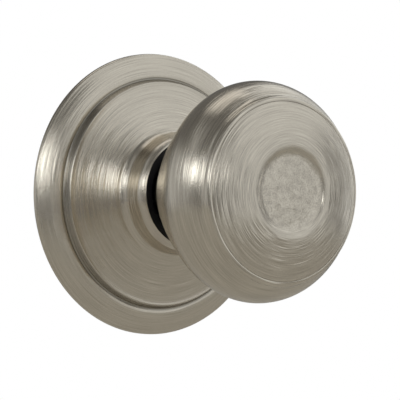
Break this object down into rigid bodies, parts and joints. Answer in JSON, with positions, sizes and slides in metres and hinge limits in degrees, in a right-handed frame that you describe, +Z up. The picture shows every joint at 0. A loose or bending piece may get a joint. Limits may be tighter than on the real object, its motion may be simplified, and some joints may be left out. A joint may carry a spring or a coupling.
{
  "type": "door knob",
  "caption": "Round passage door knob on a stepped round rose in brushed satin nickel, with a dished face, sprung spindle drive and screw posts.",
  "frame": {"origin": "centre of the rose's back ring, on the plane of the door's face and on the knob's axis", "axes": "+Y into the door along the knob's axis, so the knob points along -Y; +Z up; +X to the right as seen from in front of the door"},
  "size_m": [0.068, 0.092, 0.068],
  "materials": {
    "satin_nickel": "circular brushed, satin, clear lacquer",
    "zinc_sheet": "zinc-plated pressed sheet",
    "turned_steel": "zinc-plated, turned",
    "black_steel": "black oxide",
    "spring_steel": "oiled spring steel",
    "black_nylon": "moulded, matt",
    "white_nylon": "moulded, natural"
  },
  "bodies": {
    "base": {"rose_cover": "satin_nickel", "mounting_plate": "zinc_sheet", "bearing_hub": "black_steel", "hub_bushing": "black_nylon", "screw_posts": "turned_steel", "spring_cage": "zinc_sheet", "cage_rivets": "turned_steel", "stop_pins": "turned_steel", "rose_clips": "spring_steel", "clip_rivets": "turned_steel", "spring_spool": "white_nylon", "return_spring": "spring_steel"},
    "knob": {"knob_rear_shell": "satin_nickel", "knob_face_cap": "satin_nickel", "knob_stiffener": "zinc_sheet", "knob_shank": "turned_steel", "drive_sleeve": "black_steel", "thrust_washer": "black_steel", "drive_cam": "turned_steel", "end_washer": "turned_steel", "retaining_ring": "spring_steel", "spindle": "turned_steel", "spindle_pin": "turned_steel", "catch_spring": "spring_steel"},
    "catch": {"knob_catch": "turned_steel"}
  },
  "joints": [
    {"name": "knob_turn", "type": "hinge", "parent": "base", "child": "knob", "pos_m": [0, 0, 0], "axis": [0, 1, 0], "range_deg": [-55, 55], "stiffness_Nm_per_rad": 0.3, "deforming": ["return_spring"]},
    {"name": "catch_press", "type": "slide", "parent": "knob", "child": "catch", "axis": [-1, 0, 0], "range_m": [0, 0.0019], "stiffness_N_per_m": 300, "deforming": ["catch_spring"]}
  ]
}
